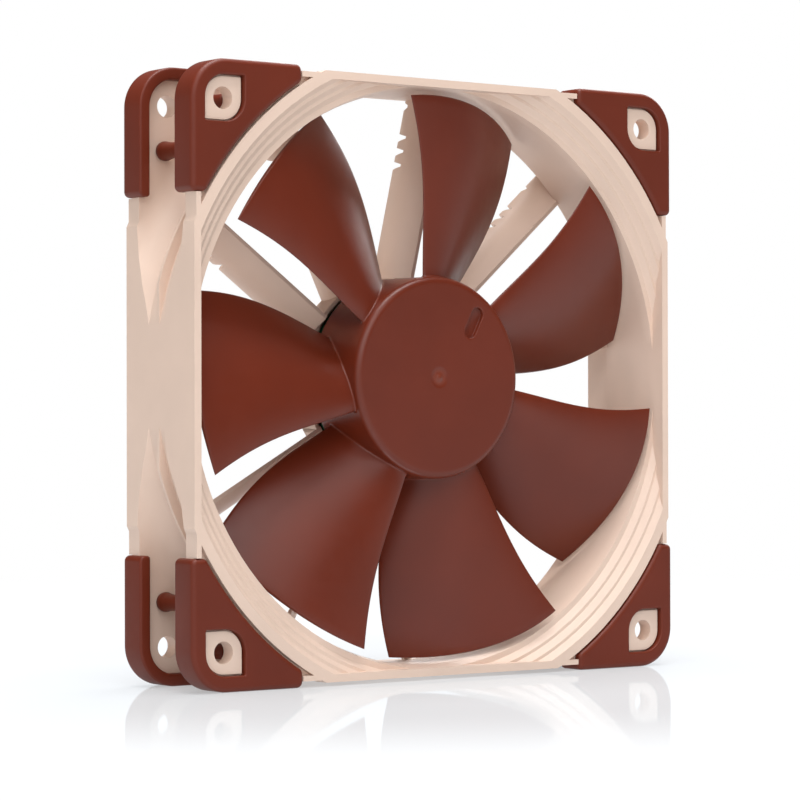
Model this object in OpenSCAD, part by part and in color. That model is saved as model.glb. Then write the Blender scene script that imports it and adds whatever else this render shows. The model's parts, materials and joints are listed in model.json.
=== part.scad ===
/* [Frame] */
// Distance between the centres of neighbouring mounting holes
hole_spacing = 105; // [104.8:0.1:105.2]
// Diameter of each mounting hole
hole_d = 4.3; // [4:0.1:4.5]
// Depth of the fan from pad face to pad face
depth = 25; // [25:0.1:26]
// Width of the frame across its flat sides
frame_w = 118.6; // [118:0.1:119]
// Diameter of the duct around the blades
bore_d = 115; // [114.6:0.1:115.4]
// Diameter of the round step at the inlet's outer edge
inlet_d = 126.6; // [126:0.1:127]
// Diameter of the inlet's innermost edge, where the duct begins to narrow
lip_d = 116.2; // [116:0.1:117]
// Diameter of the flared corners of the outlet
outlet_d = 126; // [125:0.1:126.4]
// Diameter of the raised ring on each face
ring_d = 132; // [131.4:0.1:132.4]
// Steps down from the inlet face to the duct
inlet_steps = 3; // [2:1:3]

/* [Pads] */
// Width of the fan across its corner pads
pad_span = 120; // [119.6:0.1:120]
// Height of a pad along the fan's axis
pad_h = 6.5; // [6:0.1:7]
// Thickness of a pad's wall round the flange
pad_wall = 2.4; // [2.2:0.1:2.6]
// Distance from the fan's middle to the end of a pad's leg
pad_leg = 34.6; // [34:0.1:36]
// Radius of a pad's outer corner
pad_corner_r = 8; // [7:0.5:9]
// Diameter of the peg that holds a pad in its flange
peg_d = 2.7; // [2.5:0.1:2.9]

/* [Guide vanes] */
// Thickness of a guide vane at its middle
vane_t = 1.4; // [1.2:0.1:1.8]
// Sideways reach of a vane from its front edge to its rear edge
vane_sweep = 4.4; // [3:0.1:5]
// Depth of the notches in a vane's rear edge
notch_depth = 2.2; // [1.5:0.1:2.6]

/* [Impeller] */
// Number of blades
blade_count = 7; // [5:1:9]
// Diameter of the circle of blade tips
tip_d = 113; // [112:0.1:113.4]
// Diameter of the hub
hub_d = 40.5; // [40:0.1:40.8]
// Angle that a blade spans at the hub
root_sweep = 43; // [38:1:45]
// Angle that a blade spans at its tip
tip_sweep = 36.6; // [32:0.2:39]
// Greatest thickness of a blade at the hub
blade_t = 2; // [1.6:0.1:2.4]

/* [Motor] */
// Diameter of the shaft
shaft_d = 3; // [3:0.1:3.2]
// Radial running clearance of the shaft in its sleeve
shaft_gap = 0.04; // [0.02:0.01:0.08]
// Air gap between the stator poles and the ring magnet
air_gap = 0.7; // [0.5:0.1:0.9]

/* [Hidden] */
$fn = 96;
cream = [0.88, 0.78, 0.71];
brown = [0.45, 0.19, 0.15];
steel = [0.62, 0.62, 0.64];
brass = [0.78, 0.62, 0.3];
copper = [0.72, 0.38, 0.2];
// Small overlap between neighbouring slabs, and generous sizes for cutting solids
touch = 0.01;
cut = 1;
wide = 200;

// The rotor's axis is Y: the inlet faces -Y and the outlet faces +Y, and Z is up.
pad_face = depth / 2;
pad_inner = pad_face - pad_h;
ring_face = pad_face - 0.4;
boss_face = pad_face - 0.96;
seat_face = pad_face - 1.6;
flange_in = pad_face - 4.2;
half_w = frame_w / 2;
rim_w = half_w - 1.55;
half_pads = pad_span / 2;
seat_w = half_pads - pad_wall;
seat_corner_r = pad_corner_r - pad_wall;
pad_arc_r = ring_d / 2 + 0.4;
hole_at = hole_spacing / 2;
side_flat = 29;
side_relief = 0.5;
end_gap = 0.1;

// Inlet steps and outlet flare
inlet_r = inlet_d / 2;
bore_r = bore_d / 2;
lip_r = lip_d / 2;
step_w = (inlet_r - lip_r) / inlet_steps;
step_h = 1.07;
step_slope = 0.55;
lip_drop = 2.4;
lip_y = -ring_face + inlet_steps * step_h;
flare_start = 5.5;

// Outside of the duct between the two flanges
duct_r = bore_r + 2.6;
ridge_r = duct_r + 1.8;
ridge_at = [0.2, 1.2];
ridge_edge = 0.1;
ring_r = ring_d / 2;
// Corners of the duct's section from the inlet face to the outlet face: radius and y
duct_section = [
    [bore_r - cut, -ring_face],
    [ring_r, -ring_face],
    [ring_r, -flange_in],
    [ring_r - 1.8, -flange_in + 0.8],
    [duct_r + 1.2, -2.4],
    [duct_r, -1.4],
    [duct_r, ridge_at[0]],
    [ridge_r, ridge_at[0] + ridge_edge],
    [ridge_r, ridge_at[1] - ridge_edge],
    [duct_r, ridge_at[1]],
    [duct_r, 4],
    [duct_r + 1.7, 6.3],
    [ring_r - 2.4, flange_in - 0.7],
    [ring_r, flange_in],
    [ring_r, ring_face],
    [bore_r - cut, ring_face]
];

// Corner pads and their pegs
peg_at = [53.5, 43.7];
peg_bulb_r = 1.93;
peg_tail_r = 1.5;
peg_tail_end = 0.35;
peg_tip = 0.3;
// Behind the flange: where the bulb begins to fall away, where it starts to swell, where it meets the tail
peg_bulb_y = [flange_in - 0.6, flange_in - 1.6, flange_in - 3.2];
pad_edge = 0.8;
boss_size = 8.2;
boss_r = 4.1;
window_gap = 0.35;

// Guide vanes: angle of each front edge, unevenly spaced to spread the blade tone
vane_angles = [7.5, 41, 77, 116, 144.2, 177, 209, 241, 273, 305, 337];
vane_front = 5;
vane_root_r = 20.7;
vane_edge_share = 0.56;
vane_steps = 8;
// Notches in a vane's rear edge: radius and share of the full depth
notches = [[44.2, 1], [47.2, 1], [50.2, 1], [56.9, 0.5]];
notch_w = 1.7;
notch_tip_w = 0.5;

// Motor base
base_r = 20.5;
base_front = 7.2;
base_wall = 0.8;
base_plate = 1.2;
tube_r = 6.3;
tube_front = -5;
label_r = 16.5;
label_t = 0.25;
// Way of the lead through the base's wall and the rear rim: angle, distance to one side, width, height
lead_angle = 337;
lead_side = 5.2;
lead_w = 3.2;
base_exit_h = 2.2;
rim_exit_h = 2;

// Impeller
hub_r = hub_d / 2;
hub_front = -10.3;
hub_rear = 5;
hub_wall = 1.1;
hub_plate = 1.6;
hub_edge_r = 1.4;
tip_r = tip_d / 2;
blade_root_r = hub_r - 0.5;
lead_root_y = -7.9;
lead_tip_y = -9.8;
trail_root_y = 2;
trail_tip_y = 1.5;
lead_angle_a = 148.2;
lead_bow = 2.3;
camber_power = 2;
tip_t = 1.2;
blade_edge_share = 0.25;
thickest_shift = 0.8;
// Balancing slot and centre dimple in the hub's face
slot_at = [8.8, 11.05];
slot_angle = 62.4;
slot_size = [3.8, 2.9];
slot_depth = 0.9;
dimple_r = [1.3, 0.4];
dimple_depth = 0.5;
insert_sink = 0.6;
shaft_sink = 0.2;

// Rotor parts
yoke_r = hub_r - hub_wall;
yoke_t = 0.9;
yoke_front = hub_front + hub_plate;
yoke_rear = hub_rear + 1.4;
magnet_r = yoke_r - yoke_t;
magnet_t = 2.25;
magnet_y = [-6.2, 4.8];
shaft_r = shaft_d / 2;
shaft_end = 8.2;
shaft_tip = 0.4;
insert_r = 3.2;
insert_rear = -6.3;
washer_r = 2.6;
washer_t = 0.4;
groove_r = 1.2;
groove_y = [6.6, 7.0];
retainer_r = 2.6;
retainer_split = 0.8;

// Stator and bearing parts
core_r = magnet_r - magnet_t - air_gap;
core_y = [-3.2, 1.6];
pole_count = 4;
arm_w = 3.6;
shoe_t = 2.2;
shoe_gap = 2.4;
hub_core_r = tube_r + 2.4;
insulator_t = 0.6;
lip_h = 2.6;
lip_inset = 0.4;
lip_t = 1.2;
wind = 1.8;
coil_in = tube_r + 3.2;
shell_r = 5;
sleeve_r = 3.75;
shell_y = [-5.5, 10.9];
sleeve_y = [-5, 6.2];
seal_r = shaft_r + 0.35;
stabiliser_r = 2.9;
thrust_y = [shaft_end + 0.3, shaft_end + 1.1];
board_y = [7, 8.2];
board_r = 18.8;
pin_r = 0.4;
pin_at = 11.2;
pin_y = [board_y[0] - 1, board_y[1] + 0.9];
// Parts on the board: angle and distance of the middle, then width, height and length
chip_place = [200, 11];
chip_size = [4, 1.5, 5];
sensor_place = [90, 13.4];
sensor_size = [1.6, 1.5, 4];
capacitor_place = [120, 11];
capacitor_size = [2.5, 1.6, 3.2];
joint_place = [12.6, 2];
joint_pitch = 2.2;
joint_r = [0.8, 0.35];
joint_h = 0.8;

// Turns a flat drawing in (x, z) into a slab from y0 to y1
module slab(y0, y1) {
    translate([0, y0, 0])
        rotate([90, 0, 0])
            mirror([0, 0, 1])
                linear_extrude(height = y1 - y0)
                    children();
}

// Turns a drawing in (radius, y) about the rotor's axis
module turned() {
    rotate([90, 0, 0])
        mirror([0, 0, 1])
            rotate_extrude()
                children();
}

module disc(r, y0, y1) {
    slab(y0, y1) circle(r);
}

module ring(r_out, r_in, y0, y1) {
    slab(y0, y1) difference() {
        circle(r_out);
        circle(r_in);
    }
}

// A square of half width w whose corners have radius r
module round_square(w, r) {
    square([2 * w, 2 * (w - r)], center = true);
    square([2 * (w - r), 2 * w], center = true);
    for (sx = [-1, 1], sz = [-1, 1])
        translate([sx * (w - r), sz * (w - r)]) circle(r);
}

module cross_of(w, along) {
    square([2 * w, 2 * along], center = true);
    square([2 * along, 2 * w], center = true);
}

// Outline of a flange: full width at mid side, stepped in where the pads wrap it
module flange_outline() {
    cross_of(half_w, side_flat);
    cross_of(half_w - side_relief, pad_leg);
    round_square(seat_w, seat_corner_r);
}

// Leaf-shaped outline round a mounting hole, with two round and two sharp corners
module leaf(size, r) {
    half = size / 2;
    difference() {
        square(size, center = true);
        for (s = [-1, 1])
            translate([s * (half - r / 2 + touch / 2), s * (half - r / 2 + touch / 2)])
                square(r + touch, center = true);
    }
    for (s = [-1, 1])
        intersection() {
            translate([s * (half - r), s * (half - r)]) circle(r);
            translate([s * (half - r / 2), s * (half - r / 2)]) square(r, center = true);
        }
}

// Places a drawing at each corner, mirrored so that it keeps facing outward
module at_corners(p) {
    for (sx = [-1, 1], sz = [-1, 1])
        translate([sx * p[0], sz * p[1]])
            mirror([sx < 0 ? 1 : 0, 0])
                mirror([0, sz < 0 ? 1 : 0])
                    children();
}

module mounting_holes() {
    for (sx = [-1, 1], sz = [-1, 1])
        translate([sx * hole_at, 0, sz * hole_at])
            rotate([90, 0, 0]) cylinder(d = hole_d, h = 2 * depth, center = true);
}

module peg_holes() {
    for (sx = [-1, 1], sz = [-1, 1], p = [peg_at, [peg_at[1], peg_at[0]]])
        translate([sx * p[0], 0, sz * p[1]])
            rotate([90, 0, 0]) cylinder(d = peg_d, h = 2 * depth, center = true);
}

// Section of the stepped inlet in (radius, y): each step slopes in, and a lip leads to the duct
inlet_section = concat(
    [[0, -depth], [inlet_r + step_slope, -depth]],
    [
        for (i = [0 : inlet_steps - 1], low = [0, 1])
            [inlet_r - i * step_w + step_slope * (1 - 2 * low), (i + low) * step_h - ring_face]
    ],
    [[lip_r, lip_y], [bore_r, lip_y + lip_drop], [0, lip_y + lip_drop]]
);

// Air path through the frame: stepped inlet, round duct and flared outlet
module air_path() {
    disc(bore_r, -depth, depth);
    intersection() {
        slab(-depth, depth) square(2 * rim_w, center = true);
        union() {
            turned() polygon(inlet_section);
            turned() polygon([
                [0, flare_start],
                [bore_r, flare_start],
                [outlet_d / 2, ring_face],
                [outlet_d / 2, depth],
                [0, depth]
            ]);
        }
    }
}

// Flange plate at one face: thin where the pads sit, full height round the ring
module flange() {
    slab(flange_in, seat_face) flange_outline();
    slab(seat_face - touch, ring_face) intersection() {
        flange_outline();
        union() {
            circle(ring_r);
            difference() {
                cross_of(wide, pad_leg - end_gap);
                square(2 * rim_w, center = true);
            }
        }
    }
    slab(seat_face - touch, boss_face) at_corners([hole_at, hole_at]) leaf(boss_size, boss_r);
}

module frame() {
    color(cream) difference() {
        union() {
            flange();
            mirror([0, 1, 0]) flange();
            intersection() {
                slab(-ring_face, ring_face) square(frame_w, center = true);
                turned() polygon(duct_section);
            }
        }
        air_path();
        mounting_holes();
        peg_holes();
        lead_notch();
    }
}

// Exit of the lead through the frame's rear rim, beside one guide vane
module lead_notch() {
    rotate([0, -lead_angle, 0])
        translate([bore_r - cut, ring_face - rim_exit_h, lead_side])
            cube([wide, rim_exit_h + cut, lead_w]);
}

// Section of a guide vane: it meets the swirl at its front edge and leaves along the axis
function vane_mid(s) = vane_sweep * (1 - pow(1 - s, 2));
function vane_half(s) = vane_t / 2 * (vane_edge_share + (1 - vane_edge_share) * sin(180 * s));
function vane_y(s) = vane_front + s * (ring_face - vane_front);
function vane_side(s, side) = [vane_mid(s) + side * vane_half(s), vane_y(s)];
vane_section = concat(
    [for (i = [0 : vane_steps]) vane_side(i / vane_steps, 1)],
    [for (i = [vane_steps : -1 : 0]) vane_side(i / vane_steps, -1)]
);

// A straight vane that runs out along +X, with its section in (z, y)
module vane_blank() {
    translate([vane_root_r - 2 * cut, 0, 0])
        rotate([0, 90, 0])
            mirror([1, 0, 0])
                linear_extrude(height = wide / 4)
                    polygon(vane_section);
}

module notch(r, deep) {
    translate([r, 0, -wide / 20])
        linear_extrude(height = wide / 10)
            polygon([
                [-notch_w / 2, ring_face + touch],
                [-notch_tip_w / 2, ring_face - deep],
                [notch_tip_w / 2, ring_face - deep],
                [notch_w / 2, ring_face + touch]
            ]);
}

module one_vane() {
    difference() {
        vane_blank();
        for (n = notches)
            notch(n[0], n[1] * notch_depth);
    }
}

module guide_vanes() {
    color(cream) difference() {
        intersection() {
            union() {
                for (a = vane_angles)
                    rotate([0, -a, 0]) one_vane();
            }
            air_path();
        }
        disc(base_r, base_front, depth);
        disc(vane_root_r, 0, base_front);
    }
}

module motor_base() {
    color(cream) difference() {
        union() {
            disc(base_r, base_front, ring_face);
            disc(tube_r, tube_front, ring_face);
        }
        difference() {
            disc(base_r - base_wall, base_front - cut, ring_face - base_plate);
            disc(tube_r, tube_front, ring_face);
        }
        disc(shell_r, tube_front - cut, shell_y[1]);
        disc(label_r, ring_face - label_t, depth);
        rotate([0, -lead_angle, 0])
            translate([base_r - 5 * base_wall, ring_face - base_plate - base_exit_h, lead_side])
                cube([7 * base_wall, base_exit_h, lead_w]);
    }
}

// Outline of a corner pad's face, drawn in the upper right corner and shrunk by inset
module pad_outline(inset) {
    difference() {
        intersection() {
            round_square(half_pads - inset, pad_corner_r - inset);
            translate([pad_leg + inset, pad_leg + inset]) square(wide);
        }
        circle(pad_arc_r + inset);
    }
}

// The pad wraps the flange's outer edge, lies on its face and is held by two barbed pegs
module corner_pad() {
    color(brown) {
        difference() {
            union() {
                slab(pad_inner, seat_face) difference() {
                    pad_outline(0);
                    round_square(seat_w, seat_corner_r);
                }
                slab(seat_face - touch, pad_face - pad_edge) pad_outline(0);
                slab(pad_face - pad_edge - touch, pad_face - pad_edge / 3) pad_outline(pad_edge / 3);
                slab(pad_face - pad_edge / 3 - touch, pad_face) pad_outline(pad_edge);
            }
            slab(seat_face - 2 * touch, depth)
                translate([hole_at, hole_at]) leaf(boss_size + 2 * window_gap, boss_r + window_gap);
            slab(0, seat_face) round_square(seat_w, seat_corner_r);
        }
        for (p = [peg_at, [peg_at[1], peg_at[0]]])
            translate([p[0], 0, p[1]]) peg();
    }
}

module peg() {
    turned() polygon([
        [0, peg_tail_end],
        [peg_tail_r - peg_tip, peg_tail_end],
        [peg_tail_r, peg_tail_end + peg_tip],
        [peg_tail_r, peg_bulb_y[2]],
        [peg_bulb_r, peg_bulb_y[1]],
        [peg_bulb_r, peg_bulb_y[0]],
        [(peg_bulb_r + peg_d / 2) / 2, flange_in],
        [peg_d / 2, flange_in],
        [peg_d / 2, seat_face],
        [0, seat_face]
    ]);
}

// side: 1 for the outlet face and -1 for the inlet face; sx, sz: which corner
module pad_at(side, sx, sz) {
    mirror([0, side < 0 ? 1 : 0, 0])
        mirror([sx < 0 ? 1 : 0, 0, 0])
            mirror([0, 0, sz < 0 ? 1 : 0])
                corner_pad();
}

// A blade's camber line at radius share t (0 hub, 1 tip) and chord share s (0 front, 1 rear)
function blade_r(t) = blade_root_r + t * (tip_r - blade_root_r);
function blade_angle(t, s) = lead_angle_a - lead_bow * sin(180 * t)
    - s * (root_sweep + t * (tip_sweep - root_sweep));
function lead_y(t) = lead_root_y + t * (lead_tip_y - lead_root_y);
function trail_y(t) = trail_root_y + t * (trail_tip_y - trail_root_y);
function blade_y(t, s) = lead_y(t) + (trail_y(t) - lead_y(t)) * pow(s, camber_power);
function blade_half(t, s) =
    (blade_t + t * (tip_t - blade_t)) / 2
        * (blade_edge_share + (1 - blade_edge_share) * sin(180 * pow(s, thickest_shift)));
function blade_point(t, s, side) =
    let (a = blade_angle(t, s), r = blade_r(t))
    [r * cos(a), blade_y(t, s) + side * blade_half(t, s), r * sin(a)];

radial_steps = 10;
chord_steps = 12;
loop_size = 2 * (chord_steps + 1);
blade_points = [
    for (i = [0 : radial_steps])
        for (k = [0 : loop_size - 1])
            k <= chord_steps
                ? blade_point(i / radial_steps, k / chord_steps, -1)
                : blade_point(i / radial_steps, (loop_size - 1 - k) / chord_steps, 1)
];
blade_skin = [
    for (i = [0 : radial_steps - 1])
        for (k = [0 : loop_size - 1])
            let (a = i * loop_size + k, b = i * loop_size + (k + 1) % loop_size)
            each [[b + loop_size, b, a], [a + loop_size, b + loop_size, a]]
];
// The end of a blade is a strip of triangles between its two faces
function end_cap(base, flip) = [
    for (k = [0 : chord_steps - 1])
        let (a = base + k, b = base + k + 1, c = base + loop_size - 2 - k, d = base + loop_size - 1 - k)
        each flip ? [[a, c, b], [a, d, c]] : [[a, b, c], [a, c, d]]
];
blade_faces = concat(blade_skin, end_cap(0, false), end_cap(radial_steps * loop_size, true));

module blade() {
    polyhedron(points = blade_points, faces = blade_faces, convexity = 6);
}

module impeller() {
    color(brown) {
        difference() {
            union() {
                turned() polygon(concat(
                    [[0, hub_front]],
                    [for (a = [0 : 15 : 90]) [
                        hub_r - hub_edge_r + hub_edge_r * sin(a),
                        hub_front + hub_edge_r - hub_edge_r * cos(a)
                    ]],
                    [
                        [hub_r, hub_rear],
                        [yoke_r, hub_rear],
                        [yoke_r, yoke_front],
                        [0, yoke_front]
                    ]
                ));
                for (i = [0 : blade_count - 1])
                    rotate([0, -i * 360 / blade_count, 0]) blade();
            }
            translate([0, hub_front - touch, 0])
                rotate([-90, 0, 0]) cylinder(r1 = dimple_r[0], r2 = dimple_r[1], h = dimple_depth);
            balance_slot();
            disc(insert_r, yoke_front - insert_sink, yoke_front + touch);
        }
    }
}

// Blind slot in the hub's face for a balancing weight
module balance_slot() {
    slab(hub_front - cut, hub_front + slot_depth)
        translate(slot_at) rotate(slot_angle) {
            square(slot_size, center = true);
            for (s = [-1, 1]) translate([s * slot_size[0] / 2, 0]) circle(d = slot_size[1]);
        }
}

module rotor_yoke() {
    color(steel) difference() {
        disc(yoke_r, yoke_front, yoke_rear);
        disc(yoke_r - yoke_t, yoke_front + yoke_t, depth);
        disc(insert_r, -depth, depth);
    }
}

module ring_magnet() {
    color([0.2, 0.2, 0.21]) ring(magnet_r, magnet_r - magnet_t, magnet_y[0], magnet_y[1]);
}

module shaft() {
    color(steel) turned() polygon([
        [0, yoke_front - shaft_sink],
        [shaft_r, yoke_front - shaft_sink],
        [shaft_r, groove_y[0]],
        [groove_r, groove_y[0]],
        [groove_r, groove_y[1]],
        [shaft_r, groove_y[1]],
        [shaft_r, shaft_end - shaft_tip],
        [shaft_r - shaft_tip, shaft_end],
        [0, shaft_end]
    ]);
}

module shaft_insert() {
    color(brass) difference() {
        disc(insert_r, yoke_front - insert_sink, insert_rear);
        disc(shaft_r, yoke_front - shaft_sink, 0);
    }
}

module thrust_washer() {
    color("ivory") ring(washer_r, shaft_r, insert_rear, insert_rear + washer_t);
}

// Split ring snapped in the shaft's groove
module retaining_ring() {
    color(steel) slab(groove_y[0], groove_y[1]) difference() {
        circle(retainer_r);
        circle(groove_r);
        translate([0, -retainer_split / 2]) square([wide, retainer_split]);
    }
}

module bearing_shell() {
    color(brass) ring(shell_r, sleeve_r, shell_y[0], shell_y[1]);
}

module bearing_sleeve() {
    color([0.55, 0.45, 0.33]) ring(sleeve_r, shaft_r + shaft_gap, sleeve_y[0], sleeve_y[1]);
}

module oil_seal() {
    color([0.15, 0.15, 0.15]) ring(sleeve_r, seal_r, shell_y[0], sleeve_y[0]);
}

module stabiliser_magnet() {
    color([0.3, 0.3, 0.32]) ring(sleeve_r, stabiliser_r, sleeve_y[1], thrust_y[0]);
}

module thrust_plate() {
    color([0.9, 0.88, 0.8]) disc(sleeve_r, thrust_y[0], thrust_y[1]);
}

module bearing_end_cap() {
    color(brass) disc(sleeve_r, thrust_y[1], shell_y[1]);
}

// Four-pole lamination stack
module core_outline() {
    circle(hub_core_r);
    for (i = [0 : pole_count - 1])
        rotate(45 + i * 360 / pole_count)
            translate([tube_r, -arm_w / 2]) square([core_r - shoe_t / 2 - tube_r, arm_w]);
    difference() {
        circle(core_r);
        circle(core_r - shoe_t);
        for (i = [0 : pole_count - 1])
            rotate(i * 360 / pole_count)
                translate([0, -shoe_gap / 2]) square([wide, shoe_gap]);
    }
}

module stator_core() {
    color([0.45, 0.45, 0.47]) slab(core_y[0], core_y[1]) difference() {
        core_outline();
        circle(tube_r);
    }
}

module insulator(y0, y1, lip) {
    slab(y0, y1) difference() {
        core_outline();
        circle(tube_r);
    }
    slab(min(y0, lip), max(y1, lip)) difference() {
        intersection() {
            core_outline();
            circle(core_r - lip_inset);
        }
        circle(core_r - lip_inset - lip_t);
    }
}

module insulator_front() {
    color("ivory") insulator(core_y[0] - insulator_t, core_y[0], core_y[0] - lip_h);
}

module insulator_rear() {
    color("ivory") insulator(core_y[1], core_y[1] + insulator_t, core_y[1] + lip_h);
}

// Winding round one stator arm
module coil(i) {
    y0 = core_y[0] - insulator_t;
    y1 = core_y[1] + insulator_t;
    half = arm_w / 2;
    coil_out = sqrt(pow(core_r - shoe_t, 2) - pow(half + wind, 2)) - end_gap;
    color(copper) rotate([0, -45 - i * 360 / pole_count, 0]) difference() {
        translate([coil_in, y0 - wind, -half - wind])
            cube([coil_out - coil_in, y1 - y0 + 2 * wind, 2 * (half + wind)]);
        translate([coil_in - cut, y0, -half])
            cube([coil_out - coil_in + 2 * cut, y1 - y0, 2 * half]);
    }
}

module circuit_board() {
    color([0.1, 0.35, 0.2]) slab(board_y[0], board_y[1]) difference() {
        circle(board_r);
        circle(tube_r);
        for (i = [0 : pole_count - 1])
            rotate(i * 360 / pole_count) translate([pin_at, 0]) circle(pin_r);
    }
}

// Places a block on the board; y0 is the block's inlet side
module on_board(place, size, y0) {
    rotate([0, -place[0], 0]) translate([place[1] - size[0] / 2, y0, -size[2] / 2]) cube(size);
}

module driver_chip() {
    color([0.12, 0.12, 0.13]) on_board(chip_place, chip_size, board_y[1]);
}

module hall_sensor() {
    color([0.12, 0.12, 0.13]) on_board(sensor_place, sensor_size, board_y[0] - sensor_size[1]);
}

module capacitor() {
    color([0.75, 0.6, 0.4]) on_board(capacitor_place, capacitor_size, board_y[1]);
}

module terminal_pins() {
    color(steel) for (i = [0 : pole_count - 1])
        rotate([0, -i * 360 / pole_count, 0]) translate([pin_at, 0, 0])
            disc(pin_r, pin_y[0], pin_y[1]);
}

// Four joints in a row where the lead's wires meet the board
module solder_joints() {
    color(steel) for (k = [-1.5 : 1 : 1.5])
        rotate([0, -lead_angle, 0]) translate([joint_place[0], 0, k * joint_pitch + joint_place[1]])
            turned() polygon([
                [0, board_y[1]],
                [joint_r[0], board_y[1]],
                [joint_r[1], board_y[1] + joint_h],
                [0, board_y[1] + joint_h]
            ]);
}

module blank_label() {
    color([0.85, 0.85, 0.85]) disc(label_r, ring_face - label_t, ring_face);
}

frame();
guide_vanes();
motor_base();
pad_at(-1, -1, 1);  // pad_front_top_left
pad_at(-1, 1, 1);  // pad_front_top_right
pad_at(-1, -1, -1);  // pad_front_bottom_left
pad_at(-1, 1, -1);  // pad_front_bottom_right
pad_at(1, -1, 1);  // pad_rear_top_left
pad_at(1, 1, 1);  // pad_rear_top_right
pad_at(1, -1, -1);  // pad_rear_bottom_left
pad_at(1, 1, -1);  // pad_rear_bottom_right
bearing_shell();
bearing_sleeve();
oil_seal();
stabiliser_magnet();
thrust_plate();
bearing_end_cap();
stator_core();
insulator_front();
insulator_rear();
coil(0);  // coil_1
coil(1);  // coil_2
coil(2);  // coil_3
coil(3);  // coil_4
circuit_board();
driver_chip();
hall_sensor();
capacitor();
terminal_pins();
solder_joints();
blank_label();
impeller();
rotor_yoke();
ring_magnet();
shaft();
shaft_insert();
thrust_washer();
retaining_ring();
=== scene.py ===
import json
import math

import bmesh
import bpy
from mathutils import Matrix, Vector


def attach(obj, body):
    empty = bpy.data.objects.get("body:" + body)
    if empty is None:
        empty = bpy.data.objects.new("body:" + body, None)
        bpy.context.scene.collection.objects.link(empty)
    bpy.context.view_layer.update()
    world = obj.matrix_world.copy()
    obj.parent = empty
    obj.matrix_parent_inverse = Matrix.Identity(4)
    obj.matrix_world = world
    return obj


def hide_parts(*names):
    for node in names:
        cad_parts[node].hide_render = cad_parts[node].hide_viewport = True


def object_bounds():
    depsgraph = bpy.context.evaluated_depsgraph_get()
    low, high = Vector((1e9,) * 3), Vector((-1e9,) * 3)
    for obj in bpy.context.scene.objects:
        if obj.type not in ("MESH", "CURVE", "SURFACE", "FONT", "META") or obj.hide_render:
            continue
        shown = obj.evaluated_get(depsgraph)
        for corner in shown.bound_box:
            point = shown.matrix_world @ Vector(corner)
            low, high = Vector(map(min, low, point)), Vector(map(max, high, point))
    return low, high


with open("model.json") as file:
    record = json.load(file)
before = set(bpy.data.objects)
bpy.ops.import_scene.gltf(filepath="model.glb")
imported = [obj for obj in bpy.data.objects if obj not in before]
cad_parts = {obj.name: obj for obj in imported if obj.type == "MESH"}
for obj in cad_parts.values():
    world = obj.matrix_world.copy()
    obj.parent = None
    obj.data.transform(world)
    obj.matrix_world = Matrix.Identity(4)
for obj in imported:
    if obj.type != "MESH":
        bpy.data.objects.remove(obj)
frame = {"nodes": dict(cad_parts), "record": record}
cad_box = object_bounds()
nodes = frame["nodes"]
MM = 0.001

# Sizes that the CAD model fixes, in millimetres
HUB_R, HUB_FRONT, HUB_REAR = 20.25, -10.3, 5.0
TIP_R, ROOT_R = 56.5, 19.75
PAD_FACE, PAD_INNER, SEAT_FACE = 12.5, 6.0, 10.9
PAD_HALF, PAD_CORNER_R, PAD_LEG, PAD_ARC_R = 60.0, 8.0, 34.6, 66.4
SEAT_HALF, SEAT_CORNER_R = 57.6, 5.6
HOLE_AT = 52.5
LEAF_SIZE, LEAF_R = 8.9, 4.45


# ---------------------------------------------------------------- materials
def blank_material(name, **sockets):
    mat = bpy.data.materials.new(name)
    mat.use_nodes = True
    shader = mat.node_tree.nodes["Principled BSDF"]
    for socket, value in sockets.items():
        shader.inputs[socket.replace("_", " ")].default_value = value
    return mat, mat.node_tree, shader


def add(tree, kind, **settings):
    node = tree.nodes.new(kind)
    for key, value in settings.items():
        if key in node.inputs:
            node.inputs[key].default_value = value
        else:
            setattr(node, key, value)
    return node


def noise(tree, scale, detail=2.0, stretch=None, roughness=0.5):
    """Noise over the part's own coordinates, with scale in cells per metre."""
    place = add(tree, "ShaderNodeTexCoord")
    made = add(tree, "ShaderNodeTexNoise", Scale=scale, Detail=detail, Roughness=roughness)
    if stretch is None:
        tree.links.new(place.outputs["Object"], made.inputs["Vector"])
    else:
        mapping = add(tree, "ShaderNodeMapping")
        mapping.inputs["Scale"].default_value = stretch
        tree.links.new(place.outputs["Object"], mapping.inputs["Vector"])
        tree.links.new(mapping.outputs["Vector"], made.inputs["Vector"])
    return made.outputs["Fac"]


def ramp(tree, factor, low, high, start=0.35, end=0.65):
    """Colour that drifts from low to high as factor goes from start to end."""
    node = add(tree, "ShaderNodeValToRGB")
    node.color_ramp.elements[0].position = start
    node.color_ramp.elements[1].position = end
    node.color_ramp.elements[0].color = (*low, 1)
    node.color_ramp.elements[1].color = (*high, 1)
    tree.links.new(factor, node.inputs["Fac"])
    return node.outputs["Color"]


def span(tree, factor, low, high):
    """A number that goes from low to high with factor."""
    node = add(tree, "ShaderNodeMapRange")
    node.inputs["To Min"].default_value = low
    node.inputs["To Max"].default_value = high
    tree.links.new(factor, node.inputs["Value"])
    return node.outputs["Result"]


def bump(tree, shader, height, strength, depth, under=None):
    """Relief of a depth in metres, laid over any relief given as under."""
    node = add(tree, "ShaderNodeBump", Strength=strength, Distance=depth)
    tree.links.new(height, node.inputs["Height"])
    if under is not None:
        tree.links.new(under, node.inputs["Normal"])
    tree.links.new(node.outputs["Normal"], shader.inputs["Normal"])
    return node.outputs["Normal"]


def shade(colour, by):
    return tuple(min(1.0, c * by) for c in colour)


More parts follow.
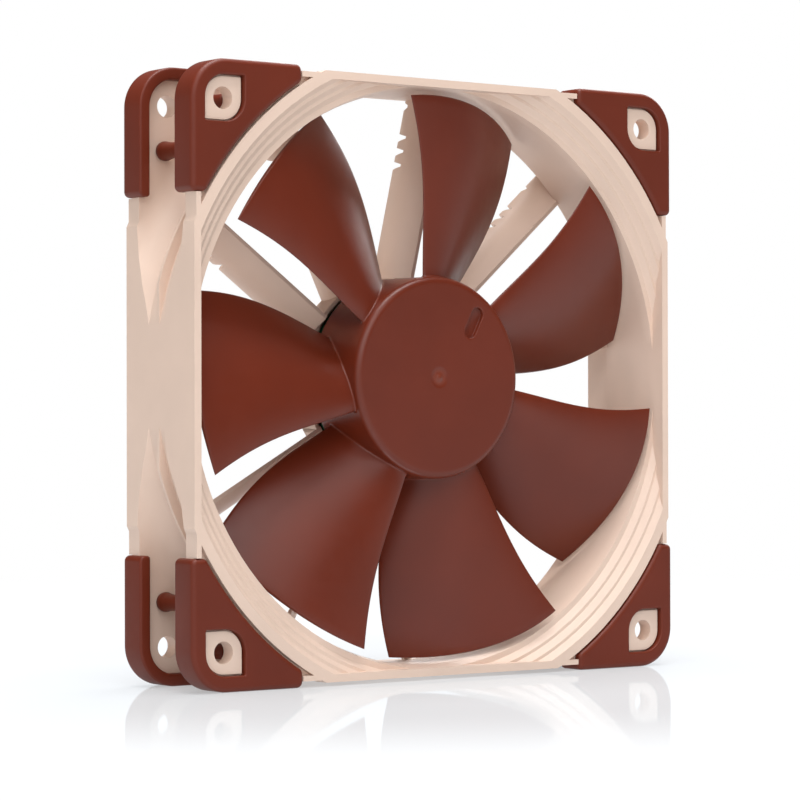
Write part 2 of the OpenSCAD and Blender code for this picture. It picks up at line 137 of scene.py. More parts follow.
def moulded(name, colour, rough, grain, depth, drift=0.05, **sockets):
    """Moulded plastic or rubber: grain in metres per cell, with slow drifts of colour and gloss."""
    mat, tree, shader = blank_material(name, **sockets)
    tint = ramp(tree, noise(tree, 55.0, 3.0), shade(colour, 1 - drift), shade(colour, 1 + drift))
    gloss = span(tree, noise(tree, 420.0, 4.0), rough - 0.07, rough + 0.07)
    tree.links.new(tint, shader.inputs["Base Color"])
    tree.links.new(gloss, shader.inputs["Roughness"])
    wavy = bump(tree, shader, noise(tree, 160.0, 1.0), 0.12, 0.00004)
    bump(tree, shader, noise(tree, 1.0 / grain, 2.0), 0.55, depth, wavy)
    return mat


def metal(name, colour, rough, stretch, **sockets):
    """Drawn or turned metal with fine lines along one direction."""
    mat, tree, shader = blank_material(name, Metallic=1.0, **sockets)
    lines = noise(tree, 900.0, 5.0, stretch)
    tree.links.new(ramp(tree, lines, shade(colour, 0.82), shade(colour, 1.12)), shader.inputs["Base Color"])
    tree.links.new(span(tree, lines, rough - 0.08, rough + 0.12), shader.inputs["Roughness"])
    bump(tree, shader, lines, 0.25, 0.00001)
    return mat


def laminated(name, colour):
    """A stack of thin steel sheets, seen as bands along Y."""
    mat, tree, shader = blank_material(name, Metallic=0.9)
    place = add(tree, "ShaderNodeTexCoord")
    bands = add(tree, "ShaderNodeTexWave", Scale=320.0, Distortion=0.15)
    bands.bands_direction = "Y"
    tree.links.new(place.outputs["Object"], bands.inputs["Vector"])
    tint = ramp(tree, bands.outputs["Fac"], shade(colour, 0.45), shade(colour, 1.1), 0.05, 0.3)
    tree.links.new(tint, shader.inputs["Base Color"])
    tree.links.new(span(tree, noise(tree, 2500.0), 0.35, 0.6), shader.inputs["Roughness"])
    bump(tree, shader, bands.outputs["Fac"], 0.5, 0.00004)
    return mat


def circuit(name):
    """Green solder mask over copper tracks, on a glass weave."""
    mat, tree, shader = blank_material(name, Coat_Weight=0.4, Coat_Roughness=0.15)
    place = add(tree, "ShaderNodeTexCoord")
    cells = add(tree, "ShaderNodeTexVoronoi", Scale=330.0, Randomness=0.65)
    cells.feature = "DISTANCE_TO_EDGE"
    cells.distance = "EUCLIDEAN"
    tree.links.new(place.outputs["Object"], cells.inputs["Vector"])
    track = cells.outputs["Distance"]
    tint = ramp(tree, track, (0.035, 0.2, 0.085), (0.012, 0.1, 0.045), 0.06, 0.1)
    tree.links.new(tint, shader.inputs["Base Color"])
    tree.links.new(span(tree, noise(tree, 1500.0), 0.28, 0.42), shader.inputs["Roughness"])
    raised = bump(tree, shader, ramp(tree, track, (1, 1, 1), (0, 0, 0), 0.06, 0.1), 0.4, 0.00003)
    weave = add(tree, "ShaderNodeTexWave", Scale=1100.0, Distortion=0.6)
    tree.links.new(place.outputs["Object"], weave.inputs["Vector"])
    bump(tree, shader, weave.outputs["Fac"], 0.15, 0.00001, raised)
    return mat


def speckled(name, dark, light, rough, scale, metallic=0.0, **sockets):
    """Sintered or bonded grains: small cells of two shades."""
    mat, tree, shader = blank_material(name, Metallic=metallic, **sockets)
    place = add(tree, "ShaderNodeTexCoord")
    cells = add(tree, "ShaderNodeTexVoronoi", Scale=scale)
    tree.links.new(place.outputs["Object"], cells.inputs["Vector"])
    tree.links.new(ramp(tree, cells.outputs["Distance"], light, dark, 0.1, 0.7), shader.inputs["Base Color"])
    tree.links.new(span(tree, noise(tree, scale / 2), rough - 0.08, rough + 0.1), shader.inputs["Roughness"])
    bump(tree, shader, cells.outputs["Distance"], 0.3, 0.00002)
    return mat


def painted_highlight_spot(mat, place, radius, colour):
    """A painted highlight: a paler spot of colour over the gate mark, standing in for light on its low dome.
    """
    tree = mat.node_tree
    base = tree.nodes["Principled BSDF"].inputs["Base Color"]
    coords = add(tree, "ShaderNodeTexCoord")
    away = add(tree, "ShaderNodeVectorMath", operation="DISTANCE")
    away.inputs[1].default_value = place
    tree.links.new(coords.outputs["Object"], away.inputs[0])
    fade = add(tree, "ShaderNodeMapRange", interpolation_type="SMOOTHSTEP")
    fade.inputs["From Min"].default_value = 0.6 * radius
    fade.inputs["From Max"].default_value = radius
    fade.inputs["To Min"].default_value = 1.0
    fade.inputs["To Max"].default_value = 0.0
    tree.links.new(away.outputs["Value"], fade.inputs["Value"])
    mix = add(tree, "ShaderNodeMix", data_type="RGBA")
    tree.links.new(fade.outputs["Result"], mix.inputs[0])
    tree.links.new(base.links[0].from_socket, mix.inputs[6])
    mix.inputs[7].default_value = (*colour, 1)
    tree.links.new(mix.outputs[2], base)


CREAM = (0.720, 0.547, 0.447)
BROWN = (0.130, 0.0182, 0.0062)
materials = {
    "frame_plastic": moulded("cream_moulding", CREAM, 0.46, 0.00022, 0.000010, 0.03, Specular_IOR_Level=0.4),
    "pad_rubber": moulded("brown_rubber", BROWN, 0.46, 0.00030, 0.000012, 0.07, Specular_IOR_Level=0.3),
    "blade_plastic": moulded("brown_moulding", BROWN, 0.34, 0.00034, 0.000009, 0.06, Specular_IOR_Level=0.40),
    "bobbin_plastic": moulded("natural_nylon", (0.66, 0.61, 0.49), 0.42, 0.0003, 0.00001, 0.05),
    "black_plastic": moulded("black_epoxy", (0.012, 0.012, 0.014), 0.5, 0.0001, 0.00001, 0.2),
    "black_rubber": moulded("black_rubber", (0.014, 0.014, 0.014), 0.6, 0.0002, 0.00001, 0.2),
    "label_film": moulded("silver_film", (0.58, 0.58, 0.60), 0.34, 0.00015, 0.000004, 0.04, Metallic=0.35),
    "brass": metal("turned_brass", (0.62, 0.42, 0.14), 0.28, (1, 9, 1)),
    "yoke_steel": metal("drawn_steel", (0.46, 0.46, 0.47), 0.34, (1, 0.1, 1)),
    "shaft_steel": metal("ground_steel", (0.58, 0.58, 0.60), 0.2, (1, 12, 1)),
    "tinned_steel": metal("tinned_steel", (0.62, 0.62, 0.62), 0.26, (1, 1, 1)),
    "lamination_steel": laminated("silicon_steel", (0.30, 0.30, 0.32)),
    "board_green": circuit("solder_mask"),
    "sintered_bronze": speckled("sintered_bronze", (0.16, 0.09, 0.04), (0.42, 0.26, 0.12), 0.5, 5200.0, 0.8),
    "magnet": speckled("bonded_ferrite", (0.018, 0.018, 0.02), (0.04, 0.04, 0.043), 0.55, 6500.0),
    "capacitor_ceramic": speckled("ceramic", (0.30, 0.18, 0.08), (0.42, 0.27, 0.13), 0.35, 4200.0),
    "enamelled_copper": metal(
        "enamelled_copper", (0.55, 0.17, 0.06), 0.24, (1, 1, 1), Coat_Weight=0.6, Coat_Roughness=0.1
    ),
}
# Painted highlight: a paler brown disc over the gate mark in the middle of the hub's face
GATE_HIGHLIGHT_R, GATE_HIGHLIGHT_BROWN = 2.0, (0.165, 0.030, 0.014)
painted_highlight_spot(materials["blade_plastic"], (0, HUB_FRONT * MM, 0), GATE_HIGHLIGHT_R * MM, GATE_HIGHLIGHT_BROWN)


# ---------------------------------------------------------------- mesh tools
def build(name, verts, faces, slot, body, stands_for=(), sharp=40.0):
    """A smooth-shaded piece in millimetres that rides on a body and takes a slot's finish."""
    mesh = bpy.data.meshes.new(name)
    mesh.from_pydata([tuple(c * MM for c in v) for v in verts], [], faces)
    made = bmesh.new()
    made.from_mesh(mesh)
    bmesh.ops.remove_doubles(made, verts=made.verts, dist=1e-7)
    bmesh.ops.recalc_face_normals(made, faces=made.faces)
    made.to_mesh(mesh)
    made.free()
    mesh.shade_smooth()
    mesh.set_sharp_from_angle(angle=math.radians(sharp))
    mesh.materials.append(materials[slot])
    piece = bpy.data.objects.new(name, mesh)
    bpy.context.scene.collection.objects.link(piece)
    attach(piece, body)
    if stands_for:
        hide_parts(*stands_for)
    return piece


class Shell:
    """Vertices and faces of one mesh, collected ring by ring."""

    def __init__(self):
        self.verts, self.faces = [], []

    def ring(self, points):
        """Add points and return their numbers."""
        first = len(self.verts)
        self.verts.extend(points)
        return list(range(first, len(self.verts)))

    def join(self, a, b):
        """Quads between two closed rings of the same length."""
        n = len(a)
        for i in range(n):
            self.faces.append((a[i], a[(i + 1) % n], b[(i + 1) % n], b[i]))

    def rings(self, loops):
        """A skin over rings of points, one after another."""
        made = [self.ring(points) for points in loops]
        for a, b in zip(made, made[1:]):
            self.join(a, b)
        return made

    def fill(self, *loops):
        """Flat triangles between an outer ring and any holes."""
        made = bmesh.new()
        edges, back = [], {}
        for loop in loops:
            row = [made.verts.new(self.verts[i]) for i in loop]
            for vert, i in zip(row, loop):
                back[vert] = i
            edges += [made.edges.new((row[i], row[(i + 1) % len(row)])) for i in range(len(row))]
        bmesh.ops.triangle_fill(made, edges=edges, use_beauty=True, normal=(0, -1, 0))
        for face in made.faces:
            self.faces.append(tuple(back[v] for v in face.verts))
        made.free()

    def fan(self, loop, centre):
        """Triangles from a ring to one centre point."""
        c = self.ring([centre])[0]
        for i in range(len(loop)):
            self.faces.append((loop[i], loop[(i + 1) % len(loop)], c))


def circle(r, y, n=144, centre=(0.0, 0.0)):
    """A ring of points round the Y direction."""
    return [
        (centre[0] + r * math.cos(2 * math.pi * i / n), y, centre[1] + r * math.sin(2 * math.pi * i / n))
        for i in range(n)
    ]


def quarter(steps):
    """Angles from none to a right angle."""
    return [math.pi / 2 * i / steps for i in range(steps + 1)]


def arc_points(cx, cz, r, start, end, steps):
    """An arc in the XZ plane between two angles in degrees."""
    return [
        (cx + r * math.cos(math.radians(start + (end - start) * i / steps)),
         cz + r * math.sin(math.radians(start + (end - start) * i / steps)))
        for i in range(steps + 1)
    ]


def even(outline, step):
    """The same closed outline with points an even distance apart."""
    ends = outline + outline[:1]
    lengths = [math.dist(a, b) for a, b in zip(ends, ends[1:])]
    total = sum(lengths)
    count = round(total / step)
    points, k, gone = [], 0, 0.0
    for i in range(count):
        want = total * i / count
        while gone + lengths[k] < want:
            gone += lengths[k]
            k += 1
        f = (want - gone) / lengths[k] if lengths[k] else 0.0
        a, b = ends[k], ends[k + 1]
        points.append((a[0] + (b[0] - a[0]) * f, a[1] + (b[1] - a[1]) * f))
    return points


def eased(points, times):
    """Corners rounded off by averaging each point with its neighbours."""
    for _ in range(times):
        around = zip(points[-1:] + points[:-1], points, points[1:] + points[:1])
        points = [tuple((a[k] + 2 * b[k] + c[k]) / 4 for k in (0, 1)) for a, b, c in around]
    return points


def inset(points, by):
    """An anticlockwise outline moved inward by a distance."""
    n = len(points)
    moved = []
    for i in range(n):
        dx = points[(i + 1) % n][0] - points[i - 1][0]
        dz = points[(i + 1) % n][1] - points[i - 1][1]
        size = math.hypot(dx, dz) or 1.0
        moved.append((points[i][0] - dz / size * by, points[i][1] + dx / size * by))
    return moved


def at(points, y):
    """A flat outline placed at a depth."""
    return [(x, y, z) for x, z in points]


# ---------------------------------------------------------------- impeller
BLADES, BLADE_START, BLADE_BOW = 7, 148.2, 2.3
BLADE_EDGE = 0.4


def blade_place(r, s, side, grow, squeeze):
    """A point on one blade: s runs from front edge to rear edge, side is -1 or 1."""
    t = (r - ROOT_R) / (TIP_R - ROOT_R)
    sweep, thick = 43.0 - 6.4 * t, 2.0 - 0.8 * t
    angle = math.radians(BLADE_START - BLADE_BOW * math.sin(math.pi * t) - s * sweep)
    angle -= (2 * s - 1) * grow / r
    lead, trail = -7.9 - 1.9 * t, 2.0 - 0.5 * t
    half = thick / 2 * (0.25 + 0.75 * math.sin(math.pi * s ** 0.8))
    edge = BLADE_EDGE / (r * math.radians(sweep))
    near = min(s, 1 - s) / edge
    if near < 1:
        half *= math.sqrt(1 - (1 - near) ** 2)
    y = lead + (trail - lead) * s * s + side * (half + grow) * squeeze
    return (r * math.cos(angle), y, r * math.sin(angle))


def add_blades(shell):
    """Blades with a fillet at the hub, a rounded tip and points crowded at both edges."""
    fillet, tip_round, chord = 0.4, 0.4, 30
    edge = 0.014
    inner = [edge + (1 - 2 * edge) * i / chord for i in range(chord + 1)]
    ends = [0.0, 0.08 * edge, 0.3 * edge, 0.62 * edge]
    across = ends + inner + [1 - s for s in reversed(ends)]
    stations = [(ROOT_R, fillet, 1.0)]
    for a in quarter(5):
        stations.append((HUB_R + fillet * (1 - math.cos(a)), fillet * (1 - math.sin(a)), 1.0))
    start, stop = HUB_R + fillet, TIP_R - tip_round
    stations += [(start + (stop - start) * i / 24, 0.0, 1.0) for i in range(1, 25)]
    stations += [(stop + tip_round * math.sin(a), 0.0, math.cos(a)) for a in quarter(4)[1:]]
    for k in range(BLADES):
        turn = -2 * math.pi * k / BLADES
        c, d = math.cos(turn), math.sin(turn)
        loops = []
        for r, grow, squeeze in stations:
            loop = [blade_place(r, s, -1, grow, squeeze) for s in across]
            loop += [blade_place(r, s, 1, grow, squeeze) for s in reversed(across[1:-1])]
            loops.append([(x * c - z * d, y, x * d + z * c) for x, y, z in loop])
        made = shell.rings(loops)
        n = len(made[0])
        for i in range(1, n // 2):
            shell.faces.append((made[0][i], made[0][i + 1], made[0][n - i - 1], made[0][n - i]))


SLOT_X, SLOT_Z, SLOT_TURN = 8.8, 11.05, 62.4
SLOT_R, SLOT_HALF, SLOT_DEPTH = 1.45, 1.9, 0.9


def slot_outline(grow):
    """The balancing slot's outline, anticlockwise, grown by a distance."""
    r, turn = SLOT_R + grow, math.radians(SLOT_TURN)
    raw = arc_points(SLOT_HALF, 0, r, -90, 90, 12) + arc_points(-SLOT_HALF, 0, r, 90, 270, 12)
    c, s = math.cos(turn), math.sin(turn)
    return [(SLOT_X + x * c - z * s, SLOT_Z + x * s + z * c) for x, z in raw]


# Radius and height over the hub's face, from the rim of the gate's dish to the nub in its middle
GATE_PROFILE = (
    (2.4, 0), (2.15, 0), (2.0, 0.02), (1.8, 0.06), (1.5, 0.09), (1.1, 0.1), (0.85, 0.08), (0.65, 0.01),
    (0.5, -0.06), (0.35, -0.11), (0.15, -0.14), (0, -0.145)
)


def make_impeller():
    """The hub's cup with its balancing slot and gate mark, and the blades."""
    shell = Shell()
    face, edge, low = HUB_FRONT, 1.4, 0.25
    cup_r, cup_floor, boss_r, boss_floor = 19.16, -8.7, 3.2, -9.3
    profile = [(HUB_R - edge - 0.35, face)]
    profile += [(HUB_R - edge + edge * math.sin(a), face + edge - edge * math.cos(a)) for a in quarter(10)]
    profile += [(HUB_R, face + edge + 0.4 + i * 3.2) for i in range(4)]
    profile += [(HUB_R, HUB_REAR - 0.6)]
    profile += [(HUB_R - low + low * math.cos(a), HUB_REAR - low + low * math.sin(a)) for a in quarter(3)]
    profile += [(cup_r + 0.19, HUB_REAR), (cup_r, HUB_REAR - 0.2), (cup_r, cup_floor)]
    profile += [(boss_r, cup_floor), (boss_r, boss_floor), (0.4, boss_floor)]
    outer = shell.rings([circle(r, y) for r, y in profile])
    shell.fan(outer[-1], (0, boss_floor, 0))
    lip = 0.14
    rows = [at(slot_outline(0.45), face), at(slot_outline(lip), face)]
    for a in quarter(3)[1:]:
        rows.append(at(slot_outline(lip * (1 - math.sin(a))), face + lip * (1 - math.cos(a))))
    for by, up in ((0, 0.12), (-0.04, 0.03), (-0.14, 0)):
        rows.append(at(slot_outline(by), face + SLOT_DEPTH - up))
    slot = shell.rings(rows)
    shell.fan(slot[-1], (SLOT_X, face + SLOT_DEPTH, SLOT_Z))
    mark = shell.rings([circle(r, face + y, 48) for r, y in GATE_PROFILE[:-1]])
    shell.fan(mark[-1], (0, face + GATE_PROFILE[-1][1], 0))
    shell.fill(outer[0], slot[0], mark[0])
    add_blades(shell)
    return build("impeller_moulding", shell.verts, shell.faces, "blade_plastic", "rotor", ["impeller"], 50.0)


# ---------------------------------------------------------------- corner pads
LEG_ROUND, WALL_ROUND, FACE_ROUND, WALL_EDGE, WINDOW_LIP = 1.15, 0.6, 1.0, 0.5, 0.3
PEG_PLACES = ((53.5, 43.7), (43.7, 53.5))
# Radius and depth along a peg, from the fan's middle plane to the pad
PEG_PROFILE = (
    (0.9, 0.36), (1.2, 0.42), (1.43, 0.6), (1.5, 0.9), (1.51, 3.0), (1.56, 4.4), (1.67, 5.6), (1.77, 6.3),
    (1.87, 6.6), (1.93, 6.9), (1.93, 7.35), (1.86, 7.7), (1.64, 8.05), (1.38, 8.3), (1.35, 8.8),
    (1.35, SEAT_FACE)
)


def pad_outline():
    """Face of the pad in the upper right corner, anticlockwise, with every corner rounded."""
    big, low, high = PAD_HALF - PAD_CORNER_R, PAD_LEG + LEG_ROUND, PAD_HALF - LEG_ROUND
    far = PAD_ARC_R + LEG_ROUND
    reach = math.sqrt(far ** 2 - low ** 2)
    turn = math.degrees(math.atan2(low, reach))
    points = arc_points(high, low, LEG_ROUND, -90, 0, 8) + arc_points(big, big, PAD_CORNER_R, 0, 90, 24)
    points += arc_points(low, high, LEG_ROUND, 90, 180, 8)
    points += arc_points(low, reach, LEG_ROUND, 180, 270 - turn, 6)
    points += arc_points(0, 0, PAD_ARC_R, 90 - turn, turn, 48)[1:-1]
    return points + arc_points(reach, low, LEG_ROUND, 180 + turn, 270, 6)


def wall_outline():
    """The pad's wall round the flange's edge, anticlockwise."""
    big, low, high = PAD_HALF - PAD_CORNER_R, PAD_LEG + LEG_ROUND, PAD_HALF - LEG_ROUND
    inner, end = SEAT_HALF + WALL_ROUND, PAD_LEG + WALL_ROUND
    points = arc_points(high, low, LEG_ROUND, -90, 0, 8) + arc_points(big, big, PAD_CORNER_R, 0, 90, 24)
    points += arc_points(low, high, LEG_ROUND, 90, 180, 8) + arc_points(end, inner, WALL_ROUND, 180, 270, 6)
    points += arc_points(big, big, SEAT_CORNER_R, 90, 0, 20)
    return points + arc_points(inner, end, WALL_ROUND, 180, 270, 6)


def leaf_outline():
    """Window round the screw hole: round at two corners and pointed at the other two."""
    half, r = LEAF_SIZE / 2, LEAF_R
    k = half - r
    points = [(half, -half)] + arc_points(k, k, r, 0, 90, 12)
    points += [(-half, half)] + arc_points(-k, -k, r, 180, 270, 12)
    return [(HOLE_AT + x, HOLE_AT + z) for x, z in points]


def make_pad():
    """One pad for the upper right corner of the outlet face, with its two pegs."""
    shell = Shell()
    outline, edge = pad_outline(), FACE_ROUND
    rows = [at(outline, SEAT_FACE), at(outline, PAD_FACE - edge)]
    for a in quarter(6)[1:]:
        rows.append(at(inset(outline, edge * (1 - math.cos(a))), PAD_FACE - edge + edge * math.sin(a)))
    rows.append(at(inset(outline, edge + 0.12), PAD_FACE))
    plate = shell.rings(rows)
    window, lip = eased(even(leaf_outline(), 0.3), 1), WINDOW_LIP
    rows = [at(inset(window, -lip - 0.25), PAD_FACE)]
    for a in quarter(4):
        rows.append(at(inset(window, -lip * (1 - math.sin(a))), PAD_FACE - lip * (1 - math.cos(a))))
    rows.append(at(window, SEAT_FACE))
    hole = shell.rings(rows)
    shell.fill(plate[-1], hole[0])
    shell.fill(plate[0], hole[-1])
    wall, low = wall_outline(), WALL_EDGE
    rows = [at(wall, SEAT_FACE), at(wall, PAD_INNER + low)]
    for a in quarter(4)[1:]:
        rows.append(at(inset(wall, low * (1 - math.cos(a))), PAD_INNER + low - low * math.sin(a)))
    skirt = shell.rings(rows)
    shell.fill(skirt[-1])
    for px, pz in PEG_PLACES:
        peg = shell.rings([circle(r, y, 32, (px, pz)) for r, y in PEG_PROFILE])
        shell.fan(peg[0], (px, 0.35, pz))
        shell.fan(peg[-1], (px, SEAT_FACE, pz))
    return shell


def place_pads():
    """The one pad, mirrored into every corner of both faces."""
    shell = make_pad()
    for side, way in (("front", -1), ("rear", 1)):
        for level, sz in (("top", 1), ("bottom", -1)):
            for hand, sx in (("left", -1), ("right", 1)):
                verts = [(x * sx, y * way, z * sz) for x, y, z in shell.verts]
                flip = sx * way * sz < 0
                faces = [tuple(reversed(f)) for f in shell.faces] if flip else shell.faces
                node = f"pad_{side}_{level}_{hand}"
                build(f"rubber_{node}", verts, faces, "pad_rubber", "housing", [node], 50.0)


# ---------------------------------------------------------------- windings
WIRE_R, WIRE_SIDES, PITCH = 0.15, 6, 0.31
COIL_START, COIL_LAYERS, COIL_TURNS, TURN_STEPS = 9.72, 5, 9, 20


def coil_path():
    """The wire's centre line: layer over layer of flattened loops, out along X and back again."""
    path = []
    for layer in range(COIL_LAYERS):
        outward = layer % 2 == 0
        turns = range(COIL_TURNS) if outward else range(COIL_TURNS - 1, -1, -1)
        half_z, low, high = 2.0 + 0.3 * layer, -4.0 - 0.3 * layer, 2.4 + 0.3 * layer
        middle, tall = (low + high) / 2, (high - low) / 2
        for loop in turns:
            for step in range(TURN_STEPS):
                a = 2 * math.pi * step / TURN_STEPS
                c, s = math.cos(a), math.sin(a)
                size = max(abs(c), abs(s)) * 0.86 + 0.14
                shift = step / TURN_STEPS if outward else 1 - step / TURN_STEPS
                along = COIL_START + PITCH * (loop + shift)
                path.append((along, middle + tall * s / size, half_z * c / size))
    return path


def make_windings():
    """Enamelled wire wound in layers round each stator arm."""
    path = coil_path()
    rim = [2 * math.pi * j / WIRE_SIDES for j in range(WIRE_SIDES)]
    loops = []
    for i, p in enumerate(path):
        before, after = Vector(path[max(i - 1, 0)]), Vector(path[min(i + 1, len(path) - 1)])
        along = (after - before).normalized()
        over = along.cross(Vector((1, 0, 0))).normalized()
        up = over.cross(along).normalized()
        loops.append([tuple(Vector(p) + WIRE_R * (math.cos(a) * over + math.sin(a) * up)) for a in rim])
    shell = Shell()
    made = shell.rings(loops)
    shell.fan(made[0], path[0])
    shell.fan(made[-1], path[-1])
    for k in range(4):
        turn = math.radians(45 + 90 * k)
        c, s = math.cos(turn), math.sin(turn)
        verts = [(x * c - z * s, y, x * s + z * c) for x, y, z in shell.verts]
        build(f"winding_{k + 1}", verts, shell.faces, "enamelled_copper", "housing", [f"coil_{k + 1}"], 80.0)


# ---------------------------------------------------------------- CAD nodes
def soften(node, width, angle=28.0, segments=3):
    """Small rounded edges on a CAD part, as a mould leaves them."""
    part = nodes[node]
    weld = part.modifiers.new("weld", "WELD")
    weld.merge_threshold = 2e-6
    flat = part.modifiers.new("flat", "DECIMATE")
    flat.decimate_type = "DISSOLVE"
    flat.angle_limit = math.radians(0.6)
    bevel = part.modifiers.new("edges", "BEVEL")
    bevel.width = width
    bevel.segments = segments
    bevel.limit_method = "ANGLE"
    bevel.angle_limit = math.radians(angle)
    normals = part.modifiers.new("normals", "WEIGHTED_NORMAL")
    normals.keep_sharp = False


def finish_cad_nodes():
    """Each CAD node's own finish, and soft edges on the three parts of the cream moulding."""
    slots = {row["node"]: row["material_slot"] for row in frame["record"]["subparts"]}
    for name, part in nodes.items():
        part.data.materials.clear()
        part.data.materials.append(materials[slots[name]])
    soften("frame", 0.3 * MM)
    soften("guide_vanes", 0.12 * MM)
    soften("motor_base", 0.25 * MM)


# ---------------------------------------------------------------- stage
SOFTBOX_SIZE, SOFTBOX_REACH = 1.0, 1.3
# Degrees round from the inlet side, degrees above the floor, and watts
SOFTBOXES = {
    "front": (-20, 30, 5.4),
    "high": (-42, 42, 3.6),
    "left": (-60, 20, 3.2),
    "top": (0, 88, 29.0),
    "behind": (120, 20, 22.0),
}
FLOOR_HALF, FLOOR_DROP = 30.0, 0.00005
# Distance from the middle where a fade starts and ends, and the mix before and after it
GLOSS_FADE, WHITE_FADE = (0.08, 0.18, 0.27, 0.0), (0.10, 0.42, 0.0, 1.0)
CARD_REACH, CARD_HALF, CARD_TALL, CARD_TURN = 1.0, 0.9, 0.35, 143
CAMERA_TURN, CAMERA_TILT, CAMERA_ROLL = -36.72, -0.55, -0.12
# How far the camera stands to the right of, above and back from the middle of the fan, in millimetres
CAMERA_AT = (-1.74, -4.4, 617.2)


def make_floor():
    """Pale floor with a faint gloss that fades away from the object, and turns white further out."""
    level = cad_box[0].z
    mesh = bpy.data.meshes.new("floor")
    made = bmesh.new()
    bmesh.ops.create_grid(made, x_segments=8, y_segments=8, size=FLOOR_HALF)
    made.to_mesh(mesh)
    made.free()
    floor = bpy.data.objects.new("floor", mesh)
    floor.location = (0, 0, level - FLOOR_DROP)
    mat = bpy.data.materials.new("floor_white")
    mat.use_nodes = True
    tree = mat.node_tree
    tree.nodes.clear()
    matt = add(tree, "ShaderNodeBsdfDiffuse", Color=(0.262, 0.268, 0.275, 1), Roughness=0.4)
    glow = add(tree, "ShaderNodeEmission", Color=(0.98, 0.99, 1, 1), Strength=0.56)
    pale = add(tree, "ShaderNodeAddShader")
    gloss = add(tree, "ShaderNodeBsdfGlossy", Color=(0.86, 0.93, 1.0, 1), Roughness=0.04)
    shiny = add(tree, "ShaderNodeMixShader")
    far = add(tree, "ShaderNodeEmission", Color=(1, 1, 1, 1), Strength=1.0)
    whole = add(tree, "ShaderNodeMixShader")
    out = add(tree, "ShaderNodeOutputMaterial")
    place = add(tree, "ShaderNodeTexCoord")
    reach = add(tree, "ShaderNodeVectorMath", operation="LENGTH")
    tree.links.new(place.outputs["Object"], reach.inputs[0])
    for mix, (start, end, low, high) in ((shiny, GLOSS_FADE), (whole, WHITE_FADE)):
        fade = add(tree, "ShaderNodeMapRange", interpolation_type="SMOOTHSTEP")
        fade.inputs["From Min"].default_value = start
        fade.inputs["From Max"].default_value = end
        fade.inputs["To Min"].default_value = low
        fade.inputs["To Max"].default_value = high
        tree.links.new(reach.outputs["Value"], fade.inputs["Value"])
        tree.links.new(fade.outputs["Result"], mix.inputs["Fac"])
    tree.links.new(matt.outputs["BSDF"], pale.inputs[0])
    tree.links.new(glow.outputs["Emission"], pale.inputs[1])
    tree.links.new(pale.outputs["Shader"], shiny.inputs[1])
    tree.links.new(gloss.outputs["BSDF"], shiny.inputs[2])
    tree.links.new(shiny.outputs["Shader"], whole.inputs[1])
    tree.links.new(far.outputs["Emission"], whole.inputs[2])
    tree.links.new(whole.outputs["Shader"], out.inputs["Surface"])
    mesh.materials.append(mat)
    bpy.context.scene.collection.objects.link(floor)


def make_backdrop():
    """White card behind the object, which the floor mirrors."""
    turn = math.radians(CARD_TURN)
    away = Vector((math.sin(turn), -math.cos(turn), 0))
    side = Vector((-away.y, away.x, 0))
    foot = away * CARD_REACH + Vector((0, 0, cad_box[0].z))
    corners = [foot - side * CARD_HALF, foot + side * CARD_HALF]
    corners += [v + Vector((0, 0, CARD_TALL)) for v in reversed(corners)]
    mesh = bpy.data.meshes.new("backdrop")
    mesh.from_pydata(corners, [], [(0, 1, 2, 3)])
    card = bpy.data.objects.new("backdrop", mesh)
    mat = bpy.data.materials.new("backdrop_white")
    mat.use_nodes = True
    mat.node_tree.nodes.clear()
    white = add(mat.node_tree, "ShaderNodeEmission", Color=(1, 1, 1, 1), Strength=1.0)
    out = add(mat.node_tree, "ShaderNodeOutputMaterial")
    mat.node_tree.links.new(white.outputs["Emission"], out.inputs["Surface"])
    mesh.materials.append(mat)
    bpy.context.scene.collection.objects.link(card)


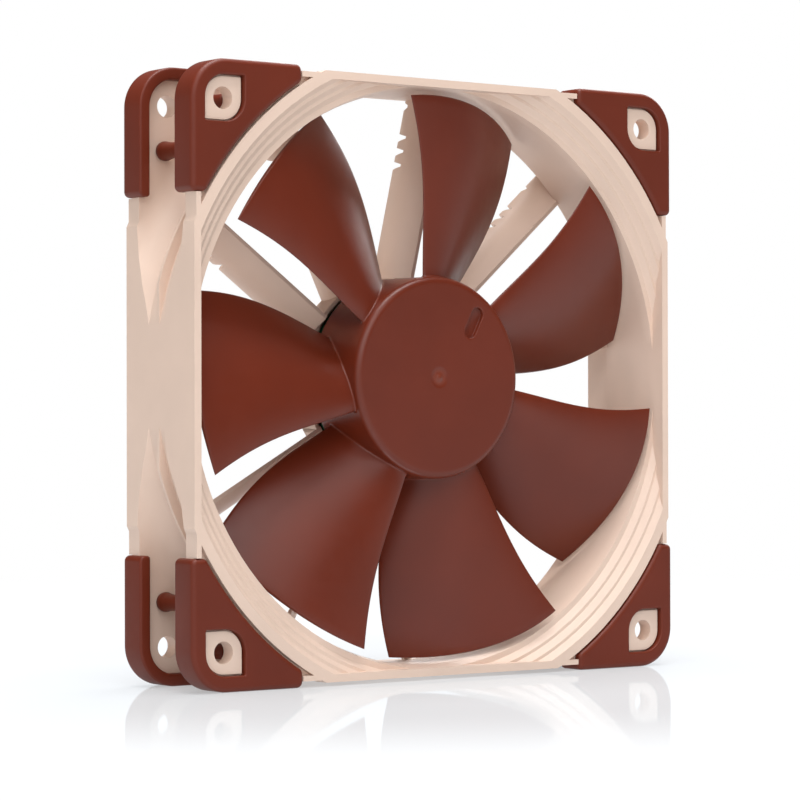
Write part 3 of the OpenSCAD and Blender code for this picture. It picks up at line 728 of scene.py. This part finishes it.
def softbox(name, turn, rise, power):
    """A square softbox aimed at the object from a direction in degrees."""
    light = bpy.data.lights.new(name, "AREA")
    light.size = SOFTBOX_SIZE
    light.energy = power
    turn, rise = math.radians(turn), math.radians(rise)
    level = SOFTBOX_REACH * math.cos(rise)
    lamp = bpy.data.objects.new(name, light)
    lamp.location = (level * math.sin(turn), -level * math.cos(turn), SOFTBOX_REACH * math.sin(rise))
    lamp.rotation_mode = "QUATERNION"
    lamp.rotation_quaternion = (-lamp.location).to_track_quat("-Z", "Y")
    bpy.context.scene.collection.objects.link(lamp)


def make_light():
    """A dim even room light that the camera sees as white, and the softboxes."""
    world = bpy.data.worlds.new("studio")
    world.use_nodes = True
    tree = world.node_tree
    room = tree.nodes["Background"]
    room.inputs["Color"].default_value = (1.0, 0.985, 0.97, 1)
    room.inputs["Strength"].default_value = 0.12
    backdrop = add(tree, "ShaderNodeBackground", Color=(1, 1, 1, 1), Strength=1.0)
    seen = add(tree, "ShaderNodeLightPath")
    mix = add(tree, "ShaderNodeMixShader")
    tree.links.new(seen.outputs["Is Camera Ray"], mix.inputs["Fac"])
    tree.links.new(room.outputs["Background"], mix.inputs[1])
    tree.links.new(backdrop.outputs["Background"], mix.inputs[2])
    tree.links.new(mix.outputs["Shader"], tree.nodes["World Output"].inputs["Surface"])
    bpy.context.scene.world = world
    for name, (turn, rise, power) in SOFTBOXES.items():
        softbox(name, turn, rise, power)
    bpy.context.scene.view_settings.view_transform = "Standard"


def make_camera():
    """A camera 37 degrees to the left of the inlet face, close to level with the fan."""
    turn, tilt, roll = (math.radians(a) for a in (CAMERA_TURN, CAMERA_TILT, CAMERA_ROLL))
    back = Vector((math.sin(turn) * math.cos(tilt), -math.cos(turn) * math.cos(tilt), math.sin(tilt)))
    right = Vector((0, 0, 1)).cross(back).normalized()
    up = back.cross(right)
    c, s = math.cos(roll), math.sin(roll)
    right, up = c * right + s * up, c * up - s * right
    camera = bpy.data.cameras.new("camera")
    camera.sensor_width = 36.0
    camera.lens = 137.2
    camera.clip_start, camera.clip_end = 0.01, 100.0
    eye = bpy.data.objects.new("camera", camera)
    place = (CAMERA_AT[0] * right + CAMERA_AT[1] * up + CAMERA_AT[2] * back) * MM
    eye.matrix_world = Matrix.Translation(place) @ Matrix((right, up, back)).transposed().to_4x4()
    bpy.context.scene.collection.objects.link(eye)
    bpy.context.scene.camera = eye


finish_cad_nodes()
make_impeller()
place_pads()
make_windings()
make_floor()
make_backdrop()
make_light()
make_camera()
